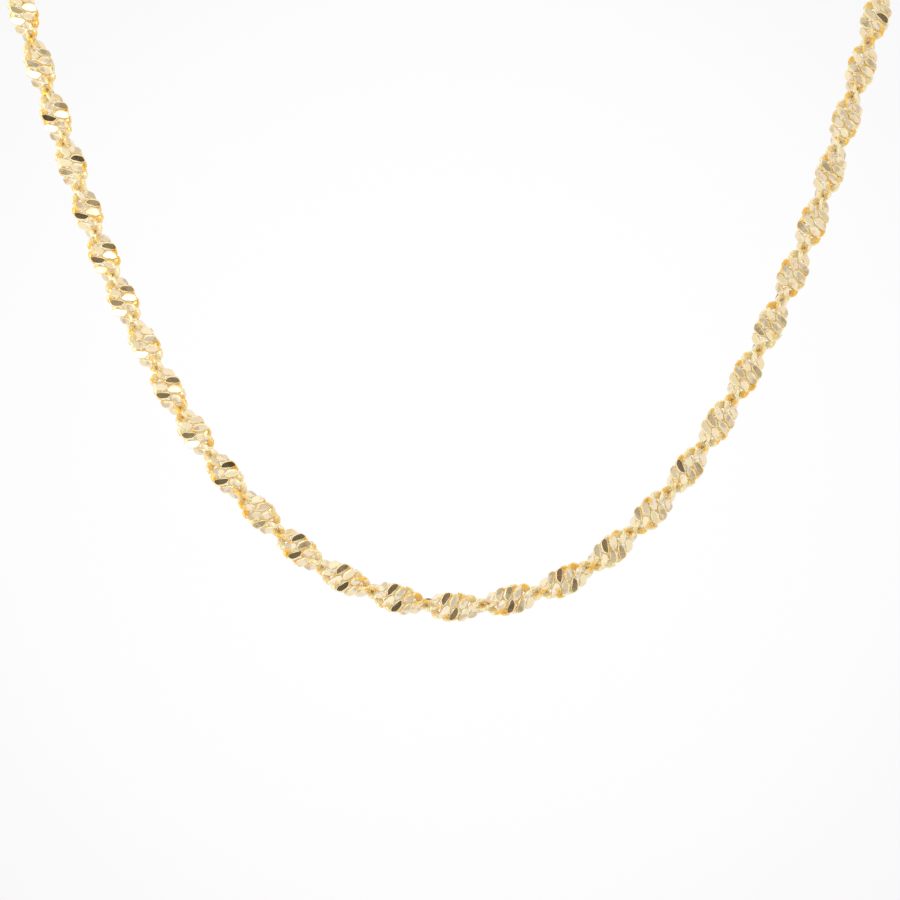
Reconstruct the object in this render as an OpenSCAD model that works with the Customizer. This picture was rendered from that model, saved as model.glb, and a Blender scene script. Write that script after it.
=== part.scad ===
// Twisted flat-link gold neck chain with a plain ring clasp at the nape.
// Millimetres, +Z up, the front of the loop faces -Y.
// The origin is the middle of the neck opening, level with the nape.

/* [Chain] */
// Width of the flat chain across its faces
chain_w = 3.0; // [2.4:0.1:3.4]
// Thickness of the flat chain between its cut faces
chain_t = 0.8; // [0.6:0.05:1.1]
// Width of each cut face, from edge to edge
face_w = 2.6; // [1.8:0.1:2.8]
// Thickness left at the outer edges
edge_t = 0.38; // [0.3:0.02:0.5]
// Distance from one link to the next, one section each
link_pitch = 0.98; // [0.9:0.01:1.3]

/* [Hanging form] */
// Height from the lowest point of the loop up to the nape
drop = 120.5; // [118:0.5:123]
// Depth of the loop from its front plane back to the nape
neck_depth = 82; // [80:1:84]

/* [End rings] */
// Mean radius of each end ring
ring_r = 1.3; // [1.25:0.05:1.4]
// Wire diameter of each end ring
ring_wire = 0.6; // [0.5:0.05:0.65]

/* [Clasp] */
// Mean radius of the clasp's main ring
clasp_r = 2.4; // [2.3:0.1:2.8]
// Wire diameter of the clasp's main ring
clasp_wire = 1.2; // [1.0:0.05:1.3]
// Mean radius of the clasp's small eye
eye_r = 0.9; // [0.9:0.05:1.0]
// Wire diameter of the clasp's small eye
eye_wire = 0.6; // [0.5:0.05:0.6]
// Length of the thumb stud on the main ring
stud_len = 1.1; // [0.8:0.1:1.4]

/* [Hidden] */

// Running clearance between wires that hook into each other
play = 0.1;
// Gap between a chain end and the ring that it hangs on
end_gap = 0.05;
// Points worked out on the route between two of its listed points
fine = 12;
round_fn = 48;

// The fittings at the nape, laid out along X from the clasp's main ring
clasp_x = 1.2;
eye_x = clasp_x - clasp_r - clasp_wire / 2 - eye_wire;
ring_left_x = eye_x - eye_r + eye_wire + play - ring_r;
ring_right_x = clasp_x + clasp_r - clasp_wire / 2 - ring_wire / 2 - play + ring_r;
end_left_x = ring_left_x - ring_r - ring_wire / 2 - end_gap;
end_right_x = ring_right_x + ring_r + ring_wire / 2 + end_gap;

// The chain's route from its left end round the front to its right end.
// Columns: x, distance behind the front plane, height above the lowest point
ROUTE = [
    [end_left_x, neck_depth, drop],
    [-22, 80, 120.5],
    [-40.5, 69.5, 118],
    [-53, 50, 113],
    [-56.5, 29, 105.5],
    [-54, 12, 95],
    [-50, 3.5, 81.5],
    [-46.5, 0.5, 68.3],
    [-43.2, 0, 57.2],
    [-39.8, 0, 46.7],
    [-36.3, 0, 36.8],
    [-31.9, 0, 27.3],
    [-26.7, 0, 18.2],
    [-19.8, 0, 9.7],
    [-11, 0, 2.9],
    [0.5, 0, 0],
    [12.2, 0, 2.8],
    [21.4, 0, 10.2],
    [28.3, 0, 19.5],
    [33.6, 0, 29.5],
    [38.1, 0, 40.3],
    [41.6, 0, 51.2],
    [44.8, 0, 62.3],
    [48, 1.5, 73.5],
    [51.5, 6.5, 86],
    [55.5, 19, 98.5],
    [56, 39, 109.5],
    [48.5, 60, 116],
    [34, 74.5, 119.5],
    [18, 81, 120.5],
    [end_right_x, neck_depth, drop]
];
LOWEST = 15;
LAST = len(ROUTE) - 1;

// The twist is a little slacker at the bottom of the loop.
// Columns: distance along the chain from its lowest point, length of half a turn
TWIST = [
    [-100, 5.8],
    [-80, 5.9],
    [-60, 5.0],
    [-40, 5.3],
    [-20, 5.55],
    [0, 6.15],
    [20, 5.85],
    [50, 5.8],
    [80, 5.6],
    [120, 5.8]
];

// Section of the flat chain: across the width, through the thickness
SECTION = [
    [chain_w / 2, -edge_t / 2],
    [chain_w / 2, edge_t / 2],
    [face_w / 2, chain_t / 2],
    [0, chain_t / 2],
    [-face_w / 2, chain_t / 2],
    [-chain_w / 2, edge_t / 2],
    [-chain_w / 2, -edge_t / 2],
    [-face_w / 2, -chain_t / 2],
    [0, -chain_t / 2],
    [face_w / 2, -chain_t / 2]
];

function unit(v) = v / norm(v);
function across(v, along) = unit(v - (v * along) * along);

// The route in the part's own frame, with one more point past each end
function placed(p) = [p[0], p[1] - neck_depth / 2, p[2] - drop];
function beyond(p, q) = 2 * p - q;
PLACED = [
    beyond(placed(ROUTE[0]), placed(ROUTE[1])),
    for (p = ROUTE) placed(p),
    beyond(placed(ROUTE[LAST]), placed(ROUTE[LAST - 1]))
];

// A smooth curve through the route's points; u is 0 at the first, 1 at the next
function span_of(u) = min(floor(u), LAST - 1);
function curve(a, b, c, d, t) =
    (2 * b + (c - a) * t + (2 * a - 5 * b + 4 * c - d) * t * t
    + (3 * b - a - 3 * c + d) * t * t * t) / 2;
function slope(a, b, c, d, t) =
    (c - a) + 2 * (2 * a - 5 * b + 4 * c - d) * t + 3 * (3 * b - a - 3 * c + d) * t * t;
function point_at(u) =
    let (i = span_of(u))
    curve(PLACED[i], PLACED[i + 1], PLACED[i + 2], PLACED[i + 3], u - i);
function heading_at(u) =
    let (i = span_of(u))
    unit(slope(PLACED[i], PLACED[i + 1], PLACED[i + 2], PLACED[i + 3], u - i));

// Distance along the chain at each fine step, and the way back from it
STEPS = LAST * fine;
TRACK = [
    for (i = 0, s = 0;
        i <= STEPS;
        s = i < STEPS ? s + norm(point_at((i + 1) / fine) - point_at(i / fine)) : s, i = i + 1)
    [s, i / fine]
];
len_left = TRACK[LOWEST * fine][0];
len_right = TRACK[STEPS][0] - len_left;

// One side of the loop, from the lowest point out to its end
function side_places(side) =
    let (
        length = side < 0 ? len_left : len_right,
        count = round(length / link_pitch)
    )
    [for (i = [0:count]) side * length * i / count];

// Half turns of twist made by each place, counted from the lowest point
function half_turns(places) = [
    for (i = 0, n = 0;
        i < len(places);
        n = i + 1 < len(places)
            ? n + (places[i + 1] - places[i]) / lookup((places[i] + places[i + 1]) / 2, TWIST)
            : n,
        i = i + 1)
    n
];

// The untwisted outward direction, carried along without turning
function outward(headings) = [
    for (i = 0, v = across([0, -1, 0], headings[0]);
        i < len(headings);
        v = i + 1 < len(headings) ? across(v, headings[i + 1]) : v, i = i + 1)
    v
];

function section_at(centre, along, out, turns) =
    let (
        up = cross(out, along),
        wide = cos(180 * turns) * up + sin(180 * turns) * out,
        thick = cos(180 * turns) * out - sin(180 * turns) * up
    )
    [for (q = SECTION) centre + q[0] * wide + q[1] * thick];

function side_sections(side) =
    let (
        places = side_places(side),
        us = [for (s = places) lookup(s + len_left, TRACK)],
        headings = [for (u = us) heading_at(u)],
        outs = outward(headings),
        turns = half_turns(places)
    )
    [for (i = [0:len(us) - 1]) section_at(point_at(us[i]), headings[i], outs[i], turns[i])];

module chain() {
    left = side_sections(-1);
    right = side_sections(1);
    sections = [
        for (i = [len(left) - 1:-1:1]) left[i],
        for (s = right) s
    ];
    n = len(SECTION);
    last = len(sections) - 1;
    points = [for (s = sections) for (p = s) p];
    start_cap = [for (j = [n - 1:-1:0]) j];
    end_cap = [for (j = [0:n - 1]) last * n + j];
    walls = [
        for (i = [0:last - 1])
            for (j = [0:n - 1])
                let (a = i * n + j, b = i * n + (j + 1) % n)
                    for (f = [[a, b, b + n], [a, b + n, a + n]]) f
    ];
    color("goldenrod") polyhedron(points = points, faces = concat([start_cap, end_cap], walls));
}

// A round ring of round wire, lying in the XY plane
module wire_ring(r, wire) {
    rotate_extrude($fn = round_fn)
        translate([r, 0])
            circle(d = wire, $fn = round_fn);
}

module at_nape(x) {
    translate([x, neck_depth / 2, 0]) children();
}

module end_ring_left() {
    color("gold") at_nape(ring_left_x) wire_ring(ring_r, ring_wire);
}

module end_ring_right() {
    color("gold") at_nape(ring_right_x) wire_ring(ring_r, ring_wire);
}

// The closed clasp as one plain piece: main ring, small eye and thumb stud
module clasp() {
    color("gold") {
        at_nape(clasp_x) rotate([90, 0, 0]) wire_ring(clasp_r, clasp_wire);
        at_nape(eye_x) rotate([90, 0, 0]) wire_ring(eye_r, eye_wire);
        at_nape(clasp_x) translate([0, 0, clasp_r])
            cylinder(d = eye_wire, h = stud_len, $fn = round_fn);
    }
}

chain();
end_ring_left();
clasp();
end_ring_right();
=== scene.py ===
import math
import random

import bmesh
import bpy
import numpy as np
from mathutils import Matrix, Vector


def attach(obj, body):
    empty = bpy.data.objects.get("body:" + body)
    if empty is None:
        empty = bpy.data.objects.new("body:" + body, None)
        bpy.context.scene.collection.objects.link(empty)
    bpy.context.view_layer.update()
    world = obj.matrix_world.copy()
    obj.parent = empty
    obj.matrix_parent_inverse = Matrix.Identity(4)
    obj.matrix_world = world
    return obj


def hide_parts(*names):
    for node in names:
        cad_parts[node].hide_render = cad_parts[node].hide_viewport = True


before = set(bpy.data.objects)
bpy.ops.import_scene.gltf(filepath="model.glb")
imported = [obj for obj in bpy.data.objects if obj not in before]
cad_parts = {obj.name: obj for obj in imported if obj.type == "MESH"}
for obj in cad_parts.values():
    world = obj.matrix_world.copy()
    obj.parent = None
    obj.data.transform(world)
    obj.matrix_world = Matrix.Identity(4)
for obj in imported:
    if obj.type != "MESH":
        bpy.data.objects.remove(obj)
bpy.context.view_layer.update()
RANDOM_SEED = 20
random.seed(RANDOM_SEED)

# Lengths are in metres
MM = 0.001
UPRIGHT = math.radians(90)
# The way that the front of the loop faces
FRONT = (0, -1, 0)

# The chain's route, repeated from the part's source
# Columns: x, distance behind the front plane, height above the lowest point
NECK_DEPTH = 82 * MM
DROP = 120.5 * MM
ROUTE = np.array([
    [-5.55, 82, 120.5], [-22, 80, 120.5], [-40.5, 69.5, 118], [-53, 50, 113],
    [-56.5, 29, 105.5], [-54, 12, 95], [-50, 3.5, 81.5], [-46.5, 0.5, 68.3],
    [-43.2, 0, 57.2], [-39.8, 0, 46.7], [-36.3, 0, 36.8], [-31.9, 0, 27.3],
    [-26.7, 0, 18.2], [-19.8, 0, 9.7], [-11, 0, 2.9], [0.5, 0, 0],
    [12.2, 0, 2.8], [21.4, 0, 10.2], [28.3, 0, 19.5], [33.6, 0, 29.5],
    [38.1, 0, 40.3], [41.6, 0, 51.2], [44.8, 0, 62.3], [48, 1.5, 73.5],
    [51.5, 6.5, 86], [55.5, 19, 98.5], [56, 39, 109.5], [48.5, 60, 116],
    [34, 74.5, 119.5], [18, 81, 120.5], [5.55, 82, 120.5],
]) * MM
# Which of these points is the lowest
LOWEST = 15
# Steps worked out on the route from each of them to the next
STEPS_PER_SPAN = 40
# Columns: distance from the lowest point, length of half a turn of twist there
TWIST = np.array([
    [-100, 5.8], [-80, 5.9], [-60, 5.0], [-40, 5.3], [-20, 5.55],
    [0, 6.15], [20, 5.85], [50, 5.8], [80, 5.6], [120, 5.8],
]) * MM

# One link: a pointed oval ring of flattened wire, bent a little and cut flat on both sides
LINK_PITCH = 0.98 * MM
LINK_HALF_LENGTH = 0.72 * MM
LINK_HALF_WIDTH = 1.38 * MM
# How pointed its two outer tips are; 1 would be a plain oval
TIP_SHARPNESS = 1.7
# Half width and half thickness of its wire, at its ends, along its bars and at its outer tips
WIRE_END = (0.22 * MM, 0.22 * MM)
WIRE_BAR = (0.44 * MM, 0.23 * MM)
WIRE_TIP = (0.14 * MM, 0.18 * MM)
# The bars swell from this far out, over this distance, and thin again past this share of the way out
BAR_FROM = 0.1 * MM
BAR_SWELL = 0.35 * MM
TIP_FROM = 0.78
# Its four quarters lie below and above its middle in turn, by this much and with this sharp a step
LINK_RISE = 0.17 * MM
RISE_SHARPNESS = 8.0
# Distance between its front and back flats
FLAT_THICKNESS = 0.70 * MM
# The flats of its two bars lean away from each other by twice this
FLAT_LEAN = math.radians(2)
# Past this far out the wire takes the knuckle gold, whose deeper orange is painted shade between the
# interlocked links
KNUCKLE_FROM = 1.12 * MM
# Rings of vertices round a link, and vertices in each ring before it is cut
RINGS_ROUND_LINK = 56
SIDES_OF_WIRE = 14
# Small step round the link over which the direction of its wire is taken
HEADING_STEP = 1e-4
# Vertices nearer to a cutting plane than this count as on it
CUT_TOLERANCE = 1e-9
# The order of the materials on each piece of the chain
WIRE, CUT, KNUCKLE = range(3)

# The middles of the first and last links lie this far past the route's ends
LINK_OVERHANG = 0.15 * MM
# Each link turns about the chain and nods along it by random angles of these spreads
TURN_SPREAD = math.radians(1.7)
NOD_SPREAD = math.radians(1.5)
# The chain's pieces, from its left end round the front to its right end
PIECES = ["chain_back_left", "chain_arm_left", "chain_front", "chain_arm_right", "chain_back_right"]


def lengths(vectors):
    """The length of each row."""
    return np.linalg.norm(vectors, axis=1)


def units(vectors):
    """Each row at length 1."""
    return vectors / lengths(vectors)[:, None]


def route_at(u):
    """Points and headings on the smooth curve through the route's points."""
    points = ROUTE - np.array([0, NECK_DEPTH / 2, DROP])
    last = len(points) - 1
    padded = np.vstack([2 * points[0] - points[1], points, 2 * points[-1] - points[-2]])
    i = np.minimum(np.floor(u).astype(int), last - 1)
    t = (u - i)[:, None]
    a, b, c, d = padded[i], padded[i + 1], padded[i + 2], padded[i + 3]
    bend, lift = 2 * a - 5 * b + 4 * c - d, 3 * b - a - 3 * c + d
    place = (2 * b + (c - a) * t + bend * t ** 2 + lift * t ** 3) / 2
    slope = (c - a) + 2 * bend * t + 3 * lift * t ** 2
    return place, units(slope)


def carried(headings, start):
    """A direction across the chain, carried along it without turning."""
    out = []
    v = np.array(start, float)
    for heading in headings:
        v = v - (v @ heading) * heading
        v = v / np.linalg.norm(v)
        out.append(v)
    return np.array(out)


def link_places(first, last):
    """Distances of the links' middles from the lowest point, evenly spaced."""
    length = last - first + 2 * LINK_OVERHANG
    count = round(length / LINK_PITCH)
    return np.linspace(first - LINK_OVERHANG, last + LINK_OVERHANG, count + 1)


def link_frames():
    """Centre, heading, width and thickness directions of each link along the chain."""
    u = np.arange((len(ROUTE) - 1) * STEPS_PER_SPAN + 1) / STEPS_PER_SPAN
    points, headings = route_at(u)
    run = np.concatenate([[0], np.cumsum(lengths(np.diff(points, axis=0)))])
    middle = LOWEST * STEPS_PER_SPAN
    run = run - run[middle]
    right = carried(headings[middle:], FRONT)
    left = carried(headings[middle::-1], FRONT)[::-1]
    outward = np.vstack([left[:-1], right])
    half_turn = np.interp(run, TWIST[:, 0], TWIST[:, 1])
    turns = np.concatenate([[0], np.cumsum(np.diff(run) * 2 / (half_turn[1:] + half_turn[:-1]))])
    turns = turns - turns[middle]
    at = link_places(run[0], run[-1])
    centre, heading = route_at(np.interp(at, run, u))
    beyond = at - np.clip(at, run[0], run[-1])
    centre = centre + beyond[:, None] * heading
    out = np.stack([np.interp(at, run, outward[:, k]) for k in range(3)], axis=1)
    out = units(out - np.sum(out * heading, axis=1)[:, None] * heading)
    up = np.cross(out, heading)
    angle = math.pi * np.interp(at, run, turns)[:, None]
    wide = np.cos(angle) * up + np.sin(angle) * out
    thick = np.cos(angle) * out - np.sin(angle) * up
    return centre, heading, wide, thick


def smooth(x):
    """0 up to x = 0, 1 past x = 1, and an even rise between them."""
    x = np.clip(x, 0, 1)
    return x * x * (3 - 2 * x)


def wire_line(angle):
    """Points on the middle line of a link's wire, at angles round the link."""
    along = LINK_HALF_LENGTH * np.sign(np.cos(angle)) * np.abs(np.cos(angle)) ** TIP_SHARPNESS
    side = np.tanh(RISE_SHARPNESS * np.sin(2 * angle)) / math.tanh(RISE_SHARPNESS)
    return np.stack([along, LINK_HALF_WIDTH * np.sin(angle), -LINK_RISE * side], axis=-1)


def wire_sizes(angle):
    """Half width and half thickness of a link's wire, at angles round the link."""
    reach = np.abs(np.sin(angle))
    fullness = smooth((LINK_HALF_WIDTH * reach - BAR_FROM) / BAR_SWELL)
    thinning = np.clip((reach - TIP_FROM) / (1 - TIP_FROM), 0, 1) ** 2
    sizes = []
    for end, bar, tip in zip(WIRE_END, WIRE_BAR, WIRE_TIP):
        sizes.append(end + (bar - end) * fullness - (bar - tip) * thinning)
    return sizes


def add_wire(bm):
    """A closed tube of oval section along a link's middle line."""
    angles = np.linspace(0, 2 * math.pi, RINGS_ROUND_LINK, endpoint=False)
    centres = wire_line(angles)
    headings = units(wire_line(angles + HEADING_STEP) - wire_line(angles - HEADING_STEP))
    rings = []
    for centre, heading, wide, thick in zip(centres, headings, *wire_sizes(angles)):
        side = np.cross((0, 0, 1), heading)
        side = side / np.linalg.norm(side)
        top = np.cross(heading, side)
        ring = []
        for k in range(SIDES_OF_WIRE):
            q = 2 * math.pi * k / SIDES_OF_WIRE
            place = centre + wide * math.cos(q) * side + thick * math.sin(q) * top
            ring.append(bm.verts.new(place))
        rings.append(ring)
    for i, ring in enumerate(rings):
        following = rings[(i + 1) % len(rings)]
        for k in range(SIDES_OF_WIRE):
            m = (k + 1) % SIDES_OF_WIRE
            bm.faces.new((ring[k], ring[m], following[m], following[k]))
    bmesh.ops.recalc_face_normals(bm, faces=bm.faces)


def cut_flats(bm):
    """The two flats on the front of a link and the two on its back."""
    for facing in (1, -1):
        for lean in (FLAT_LEAN, -FLAT_LEAN):
            bar = math.copysign(LINK_HALF_WIDTH / 2, lean)
            bmesh.ops.bisect_plane(
                bm,
                geom=bm.verts[:] + bm.edges[:] + bm.faces[:],
                plane_co=(0, bar, facing * FLAT_THICKNESS / 2),
                plane_no=(0, math.sin(lean), facing * math.cos(lean)),
                clear_outer=True,
                dist=CUT_TOLERANCE,
            )
            rim = [e for e in bm.edges if e.is_boundary]
            made = bmesh.ops.holes_fill(bm, edges=rim, sides=0)
            for face in made["faces"]:
                face.material_index = CUT


def base_link():
    """One link in its own axes: along the chain, across its width, through its thickness."""
    bm = bmesh.new()
    add_wire(bm)
    cut_flats(bm)
    for face in bm.faces:
        if face.material_index == WIRE and abs(face.calc_center_median().y) > KNUCKLE_FROM:
            face.material_index = KNUCKLE
    bmesh.ops.recalc_face_normals(bm, faces=bm.faces)
    mesh = bpy.data.meshes.new("link")
    bm.to_mesh(mesh)
    bm.free()
    return mesh


def values_of(items, name, kind, each=1):
    """One property of all vertices, loops or faces, with so many numbers for each."""
    values = np.zeros(len(items) * each, kind)
    items.foreach_get(name, values)
    return values


def placed_links(local, frames):
    """The vertices of many links, each turned a little and placed by its own frame."""
    points = []
    for centre, heading, wide, thick in zip(*frames):
        turn = random.gauss(0, TURN_SPREAD)
        nod = random.gauss(0, NOD_SPREAD)
        w = math.cos(turn) * wide + math.sin(turn) * thick
        t = math.cos(turn) * thick - math.sin(turn) * wide
        h = math.cos(nod) * heading + math.sin(nod) * t
        t = math.cos(nod) * t - math.sin(nod) * heading
        points.append(centre + local @ np.array([h, w, t]))
    return np.concatenate(points)


def joined_links(name, link, frames):
    """One object whose mesh holds a link for each frame."""
    local = values_of(link.vertices, "co", float, 3).reshape(-1, 3)
    corners = values_of(link.loops, "vertex_index", int)
    starts = values_of(link.polygons, "loop_start", int)
    kinds = values_of(link.polygons, "material_index", int)
    points = placed_links(local, frames)
    count = len(points) // len(local)
    shifts = np.arange(count)[:, None]
    mesh = bpy.data.meshes.new(name)
    mesh.vertices.add(len(points))
    mesh.vertices.foreach_set("co", points.ravel())
    mesh.loops.add(count * len(corners))
    mesh.loops.foreach_set("vertex_index", (corners[None] + shifts * len(local)).ravel())
    mesh.polygons.add(count * len(starts))
    mesh.polygons.foreach_set("loop_start", (starts[None] + shifts * len(corners)).ravel())
    mesh.polygons.foreach_set("material_index", np.tile(kinds, count))
    mesh.polygons.foreach_set("use_smooth", np.tile(kinds != CUT, count))
    mesh.update(calc_edges=True)
    mesh.validate()
    made = bpy.data.objects.new(name, mesh)
    bpy.context.scene.collection.objects.link(made)
    return made


def make_ramp(tree, source, steps):
    """The colour that a ramp of (place, colour) steps gives a value."""
    ramp = tree.nodes.new("ShaderNodeValToRGB")
    elements = ramp.color_ramp.elements
    for element, (position, colour) in zip(elements, (steps[0], steps[-1])):
        element.position = position
        element.color = (*colour, 1)
    for position, colour in steps[1:-1]:
        elements.new(position).color = (*colour, 1)
    tree.links.new(source, ramp.inputs["Fac"])
    return ramp.outputs["Color"]


# Each gold: the steps of its colour over the range of a noise, its roughness, the strength of its
# grain and how much it is shaded as metal. The rest of the shading is plain colour, which keeps the
# wire between the flats yellow.
GOLDS = {
    "gold_wire": {
        "tints": [(0.42, (1.0, 0.81, 0.41)), (0.58, (1.0, 0.92, 0.70))],
        "roughness": 0.34,
        "grain": 0.01,
        "metallic": 0.55,
    },
    "gold_cut": {
        # The olive, pinkish and yellow steps on the flats are partly painted reflection, standing in for
        # darker and warmer surroundings mirrored in them
        "tints": [(0.40, (0.70, 0.60, 0.44)), (0.48, (1.0, 0.84, 0.66)), (0.60, (1.0, 0.87, 0.54))],
        "roughness": 0.07,
        "grain": 0.10,
        "metallic": 1.0,
    },
    "gold_knuckle_painted_shade": {
        # The deep orange and the pale steps are painted shade and painted light where the links interlock,
        # standing in for gold mirrored in gold
        "tints": [(0.41, (1.0, 0.61, 0.11)), (0.55, (1.0, 0.90, 0.58))],
        "roughness": 0.30,
        "grain": 0.01,
        "metallic": 0.55,
    },
    "gold_fitting": {
        "tints": [(0.42, (1.0, 0.72, 0.28)), (0.58, (1.0, 0.74, 0.32))],
        "roughness": 0.14,
        "grain": 0.06,
        "metallic": 1.0,
    },
}
# Patches of tint and points of grain to a metre, and how many finer layers each noise has
TINT_SCALE = 900
GRAIN_SCALE = 4000
NOISE_DETAIL = 2
# The grain varies the roughness between these shares of it
ROUGHNESS_RANGE = (0.7, 1.3)
# Height of the grain where its strength is 1
GRAIN_HEIGHT = 0.01 * MM


def gold(name):
    """Yellow gold whose colour varies a little from place to place, with fine grain in its polish; on the
    flats and knuckles part of that variation is painted reflection and painted shade.
    """
    look = GOLDS[name]
    material = bpy.data.materials.new(name)
    material.use_nodes = True
    tree = material.node_tree
    shader = tree.nodes["Principled BSDF"]
    shader.inputs["Metallic"].default_value = look["metallic"]
    place = tree.nodes.new("ShaderNodeTexCoord")

    def noise(scale):
        made = tree.nodes.new("ShaderNodeTexNoise")
        made.inputs["Scale"].default_value = scale
        made.inputs["Detail"].default_value = NOISE_DETAIL
        tree.links.new(place.outputs["Object"], made.inputs["Vector"])
        return made.outputs["Fac"]

    tint = make_ramp(tree, noise(TINT_SCALE), look["tints"])
    tree.links.new(tint, shader.inputs["Base Color"])
    fine = noise(GRAIN_SCALE)
    rough = tree.nodes.new("ShaderNodeMapRange")
    for socket, share in zip(("To Min", "To Max"), ROUGHNESS_RANGE):
        rough.inputs[socket].default_value = look["roughness"] * share
    tree.links.new(fine, rough.inputs["Value"])
    tree.links.new(rough.outputs["Result"], shader.inputs["Roughness"])
    bump = tree.nodes.new("ShaderNodeBump")
    bump.inputs["Strength"].default_value = look["grain"]
    bump.inputs["Distance"].default_value = GRAIN_HEIGHT
    tree.links.new(fine, bump.inputs["Height"])
    tree.links.new(bump.outputs["Normal"], shader.inputs["Normal"])
    return material


def make_chain():
    """The chain in five pieces, with its materials in the order WIRE, CUT, KNUCKLE."""
    golds = [gold(name) for name in ("gold_wire", "gold_cut", "gold_knuckle_painted_shade")]
    link = base_link()
    parts = [np.array_split(column, len(PIECES)) for column in link_frames()]
    for name, *frames in zip(PIECES, *parts):
        piece = joined_links(name, link, frames)
        for material in golds:
            piece.data.materials.append(material)
        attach(piece, "root")
        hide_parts("chain")
    bpy.data.meshes.remove(link)


def dress_fittings():
    """The same bright gold on the clasp and the two end rings."""
    fitting_gold = gold("gold_fitting")
    for name in ("end_ring_left", "clasp", "end_ring_right"):
        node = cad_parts[name]
        node.data.materials.clear()
        node.data.materials.append(fitting_gold)


# The photograph's frame: its width at the front of the loop, and how far its middle lies above
# the loop's lowest point
FRAME_WIDTH = 94.5 * MM
FRAME_RISE = 16.5 * MM
CAMERA_DISTANCE = 320 * MM
# Width of the sensor, in millimetres as Blender takes it
SENSOR_WIDTH = 36
# The nearest and farthest distances that the camera draws
NEAREST_SEEN = 0.01
FARTHEST_SEEN = 100


def make_camera():
    """A level camera in front of the loop, at the photograph's angle and framing."""
    data = bpy.data.cameras.new("camera")
    data.sensor_width = SENSOR_WIDTH
    data.lens = SENSOR_WIDTH * CAMERA_DISTANCE / FRAME_WIDTH
    data.clip_start = NEAREST_SEEN
    data.clip_end = FARTHEST_SEEN
    camera = bpy.data.objects.new("camera", data)
    bpy.context.scene.collection.objects.link(camera)
    camera.location = (0, -NECK_DEPTH / 2 - CAMERA_DISTANCE, -DROP + FRAME_RISE)
    camera.rotation_euler = (UPRIGHT, 0, 0)
    bpy.context.scene.camera = camera


# Everything in the studio is matt, and its floor and its screen are of plain pale paper
MATT_ROUGHNESS = 0.9
PAPER_SHADE = 0.9
FLOOR_PLACE = (0, 0, -0.30)
FLOOR_RADIUS = 0.45
DISC_SIDES = 96
# A dark, blotched column in front of the loop, as a camera on its stand would be: the flats that
# mirror it are the dark ones
COLUMN_PLACE = (0.015, -NECK_DEPTH / 2 - 0.20, -0.050)
COLUMN_RADIUS = 0.058
COLUMN_HALF_HEIGHT = 0.098
COLUMN_SIDES = 64
COLUMN_ROWS = 48
# How much paler its right side is than its middle, as a share of the blotches' whole range
COLUMN_FADE = 0.09
# Which of the many patterns of blotches it has, and how many blotches to a metre
COLUMN_PATTERN = 6.5
COLUMN_SCALE = 27
# Its shades, from the darkest blotches to the palest
COLUMN_SHADES = [
    (0.34, (0.03, 0.022, 0.014)),
    (0.48, (0.14, 0.11, 0.075)),
    (0.57, (0.42, 0.35, 0.27)),
    (0.69, (0.74, 0.66, 0.57)),
]
# A second column does the same for the clasp and the back of the chain
BACK_COLUMN_PLACE = (-0.012, NECK_DEPTH / 2 + 0.20, 0.035)
# A pale screen that keeps the dark column out of the flats at the top of the right arm
SCREEN_PLACE = (0.035, -NECK_DEPTH / 2 - 0.06, -0.066)
SCREEN_RADIUS = 0.024
# The studio's round wall behind the camera, whose soft blotches give the flats their many tones
WALL_PLACE = (0, -NECK_DEPTH / 2 - 0.56, -0.08)
WALL_RADIUS = 0.8
WALL_PATTERN = 0
WALL_SCALE = 8
WALL_SHADES = [(0.40, (0.35, 0.32, 0.23)), (0.495, (0.73, 0.70, 0.61)), (0.59, (0.99, 0.99, 0.99))]
# Finer layers of the blotches, and how strong each is against the one before
BLOTCH_DETAIL = 6
BLOTCH_ROUGHNESS = 0.7


def plain_paper():
    """Matt and pale, the same all over."""
    material = bpy.data.materials.new("plain_paper")
    material.use_nodes = True
    shader = material.node_tree.nodes["Principled BSDF"]
    shader.inputs["Base Color"].default_value = (PAPER_SHADE, PAPER_SHADE, PAPER_SHADE, 1)
    shader.inputs["Roughness"].default_value = MATT_ROUGHNESS
    return material


def blotched(name, shades, scale, pattern, fade):
    """Matt and blotched, and paler toward +X where fade is above 0."""
    material = bpy.data.materials.new(name)
    material.use_nodes = True
    tree = material.node_tree
    shader = tree.nodes["Principled BSDF"]
    shader.inputs["Roughness"].default_value = MATT_ROUGHNESS
    place = tree.nodes.new("ShaderNodeTexCoord")
    blotches = tree.nodes.new("ShaderNodeTexNoise")
    blotches.noise_dimensions = "4D"
    blotches.inputs["W"].default_value = pattern
    blotches.inputs["Scale"].default_value = scale
    blotches.inputs["Detail"].default_value = BLOTCH_DETAIL
    blotches.inputs["Roughness"].default_value = BLOTCH_ROUGHNESS
    tree.links.new(place.outputs["Object"], blotches.inputs["Vector"])
    parts = tree.nodes.new("ShaderNodeSeparateXYZ")
    tree.links.new(place.outputs["Object"], parts.inputs["Vector"])
    faded = tree.nodes.new("ShaderNodeMath")
    faded.operation = "MULTIPLY_ADD"
    faded.inputs[1].default_value = fade
    tree.links.new(parts.outputs["X"], faded.inputs[0])
    tree.links.new(blotches.outputs["Fac"], faded.inputs[2])
    tree.links.new(make_ramp(tree, faded.outputs["Value"], shades), shader.inputs["Base Color"])
    return material


def stage_card(name, shape, place, material):
    """A thing of the studio, made of the shape that a bmesh holds."""
    mesh = bpy.data.meshes.new(name)
    shape.to_mesh(mesh)
    shape.free()
    mesh.materials.append(material)
    card = bpy.data.objects.new(name, mesh)
    card.location = place
    bpy.context.scene.collection.objects.link(card)
    return card


def disc(radius):
    """A flat, level disc."""
    shape = bmesh.new()
    bmesh.ops.create_circle(shape, cap_ends=True, segments=DISC_SIDES, radius=radius)
    return shape


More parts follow.
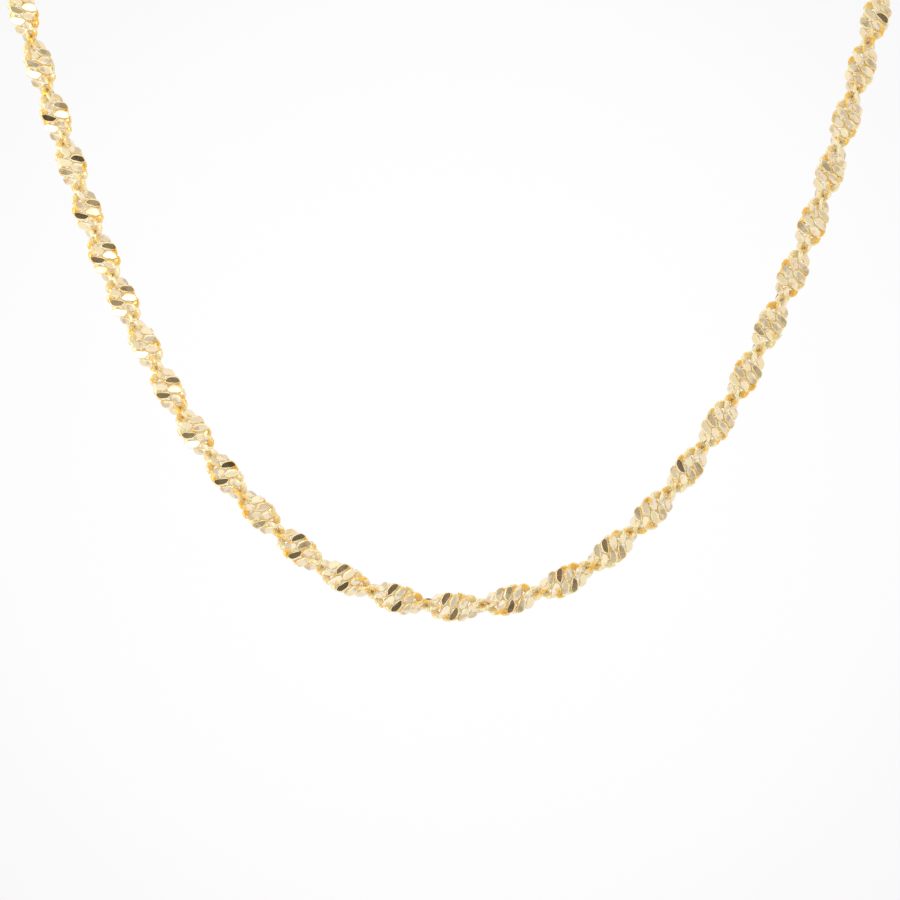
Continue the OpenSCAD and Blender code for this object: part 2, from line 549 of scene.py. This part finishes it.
def rounded_column():
    """An upright column with a half sphere at its top and its foot."""
    shape = bmesh.new()
    bmesh.ops.create_uvsphere(shape, u_segments=COLUMN_SIDES, v_segments=COLUMN_ROWS, radius=COLUMN_RADIUS)
    for vertex in shape.verts:
        vertex.co.z += math.copysign(COLUMN_HALF_HEIGHT - COLUMN_RADIUS, vertex.co.z)
    return shape


def make_stage():
    """The floor, and the things that the gold mirrors."""
    paper = plain_paper()
    stage_card("floor", disc(FLOOR_RADIUS), FLOOR_PLACE, paper)
    screen = stage_card("screen", disc(SCREEN_RADIUS), SCREEN_PLACE, paper)
    wall_paper = blotched("wall_paper", WALL_SHADES, WALL_SCALE, WALL_PATTERN, fade=0)
    wall = stage_card("wall", disc(WALL_RADIUS), WALL_PLACE, wall_paper)
    for upright in (screen, wall):
        upright.rotation_euler = (UPRIGHT, 0, 0)
    fade = COLUMN_FADE / COLUMN_RADIUS
    dark = blotched("column_dark", COLUMN_SHADES, COLUMN_SCALE, COLUMN_PATTERN, fade)
    columns = []
    for name, place in (("dark_column", COLUMN_PLACE), ("dark_column_back", BACK_COLUMN_PLACE)):
        columns.append(stage_card(name, rounded_column(), place, dark))
    # The gold mirrors these, but the camera doesn't see them and they throw no shadow
    for card in (screen, wall, *columns):
        card.visible_camera = False
        card.visible_diffuse = False
        card.visible_shadow = False


# A bright panel in front of the left arm and to its left, taller than the picture
PANEL_TARGET = (-0.045, -NECK_DEPTH / 2, -0.06)
PANEL_AZIMUTH = math.radians(28)
PANEL_DISTANCE = 0.09
PANEL_WIDTH = 0.07
PANEL_HEIGHT = 0.20
PANEL_SPREAD = math.radians(70)
# Its power is that of an open panel of this radiance; its narrow spread makes it brighter than that
PANEL_RADIANCE = 0.45


def white_panel():
    """An oval panel of light that turns some of the left arm's flats white."""
    lamp = bpy.data.lights.new("panel_left", "AREA")
    lamp.shape = "ELLIPSE"
    lamp.size = PANEL_WIDTH
    lamp.size_y = PANEL_HEIGHT
    lamp.spread = PANEL_SPREAD
    area = math.pi * PANEL_WIDTH * PANEL_HEIGHT / 4
    lamp.energy = PANEL_RADIANCE * math.pi * area
    made = bpy.data.objects.new("panel_left", lamp)
    bpy.context.scene.collection.objects.link(made)
    away = Vector((-math.sin(PANEL_AZIMUTH), -math.cos(PANEL_AZIMUTH), 0))
    made.location = Vector(PANEL_TARGET) + away * PANEL_DISTANCE
    made.rotation_euler = (UPRIGHT, 0, -PANEL_AZIMUTH)
    made.visible_camera = False


# The room's grey, by the share of the way from the camera's side (0) to the backdrop (1)
BACKDROP_GREYS = [(0.0, 0.84), (0.5, 0.82), (0.8, 0.75), (0.96, 0.725), (0.989, 0.743), (0.9985, 0.796)]
# Its colour, by the distance out to either side (0 to 1)
SIDE_COLOURS = [(0.0, (1, 1, 1)), (0.68, (1, 1, 1)), (0.9, (0.88, 0.84, 0.80)), (1.0, (0.82, 0.77, 0.72))]
ROOM_STRENGTH = 1.26


def make_room():
    """Soft light from all sides: a pale backdrop, with warmer and darker sides."""
    world = bpy.data.worlds.new("studio")
    bpy.context.scene.world = world
    world.use_nodes = True
    tree = world.node_tree
    toward = tree.nodes.new("ShaderNodeTexCoord")
    parts = tree.nodes.new("ShaderNodeSeparateXYZ")
    tree.links.new(toward.outputs["Generated"], parts.inputs["Vector"])
    back = tree.nodes.new("ShaderNodeMapRange")
    back.inputs["From Min"].default_value = -1
    tree.links.new(parts.outputs["Y"], back.inputs["Value"])
    aside = tree.nodes.new("ShaderNodeMath")
    aside.operation = "ABSOLUTE"
    tree.links.new(parts.outputs["X"], aside.inputs[0])
    greys = [(position, (grey, grey, grey)) for position, grey in BACKDROP_GREYS]
    both = tree.nodes.new("ShaderNodeVectorMath")
    both.operation = "MULTIPLY"
    tree.links.new(make_ramp(tree, back.outputs["Result"], greys), both.inputs[0])
    tree.links.new(make_ramp(tree, aside.outputs["Value"], SIDE_COLOURS), both.inputs[1])
    background = tree.nodes["Background"]
    tree.links.new(both.outputs["Vector"], background.inputs["Color"])
    background.inputs["Strength"].default_value = ROOM_STRENGTH


make_camera()
make_stage()
make_room()
white_panel()
make_chain()
dress_fittings()
# No film curve, so the colours come out as they are
bpy.context.scene.view_settings.view_transform = "Standard"
